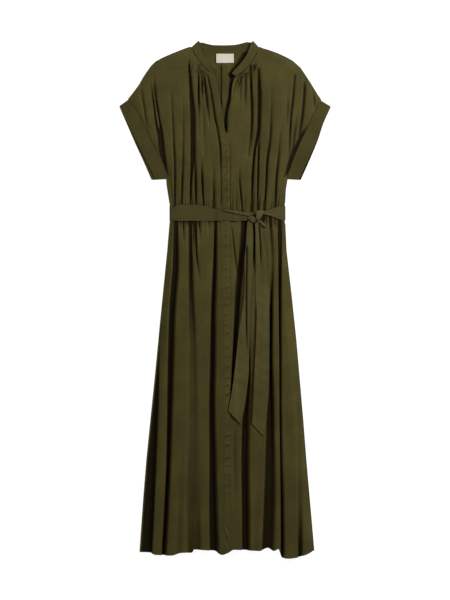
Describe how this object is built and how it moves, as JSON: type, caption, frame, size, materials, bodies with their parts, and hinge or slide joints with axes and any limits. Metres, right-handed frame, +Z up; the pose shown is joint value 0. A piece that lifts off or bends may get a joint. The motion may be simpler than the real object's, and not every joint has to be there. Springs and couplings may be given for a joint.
{
  "type": "long shirt dress with tie belt, laid flat",
  "caption": "Long short-sleeved shirt dress laid flat, with band collar, hidden placket, gathered waist, flared skirt and knotted tie belt.",
  "frame": {"origin": "centre of the dress's footprint, on the surface it lies on", "axes": "+Y toward the neck along the length, +X toward the wearer's left, +Z up out of the front"},
  "size_m": [0.542, 1.3418, 0.0229],
  "materials": {
    "dress_cloth": "fine twill weave, soft and matte with a faint sheen",
    "belt_cloth": "fine twill weave, doubled and pressed",
    "label_cloth": "smooth woven ribbon, bare"
  },
  "bodies": {
    "root": {"back_bodice": "dress_cloth", "back_skirt": "dress_cloth", "front_bodice_right": "dress_cloth", "front_bodice_left": "dress_cloth", "front_skirt_right": "dress_cloth", "front_skirt_left": "dress_cloth", "placket": "dress_cloth", "yoke_right": "dress_cloth", "yoke_left": "dress_cloth", "collar_band": "dress_cloth", "cuff_right": "dress_cloth", "cuff_left": "dress_cloth", "belt": "belt_cloth", "belt_fold": "belt_cloth", "knot_wrap": "belt_cloth", "knot_strap": "belt_cloth", "knot_corner": "belt_cloth", "tail_inner": "belt_cloth", "tail_outer": "belt_cloth", "label": "label_cloth"}
  },
  "joints": []
}
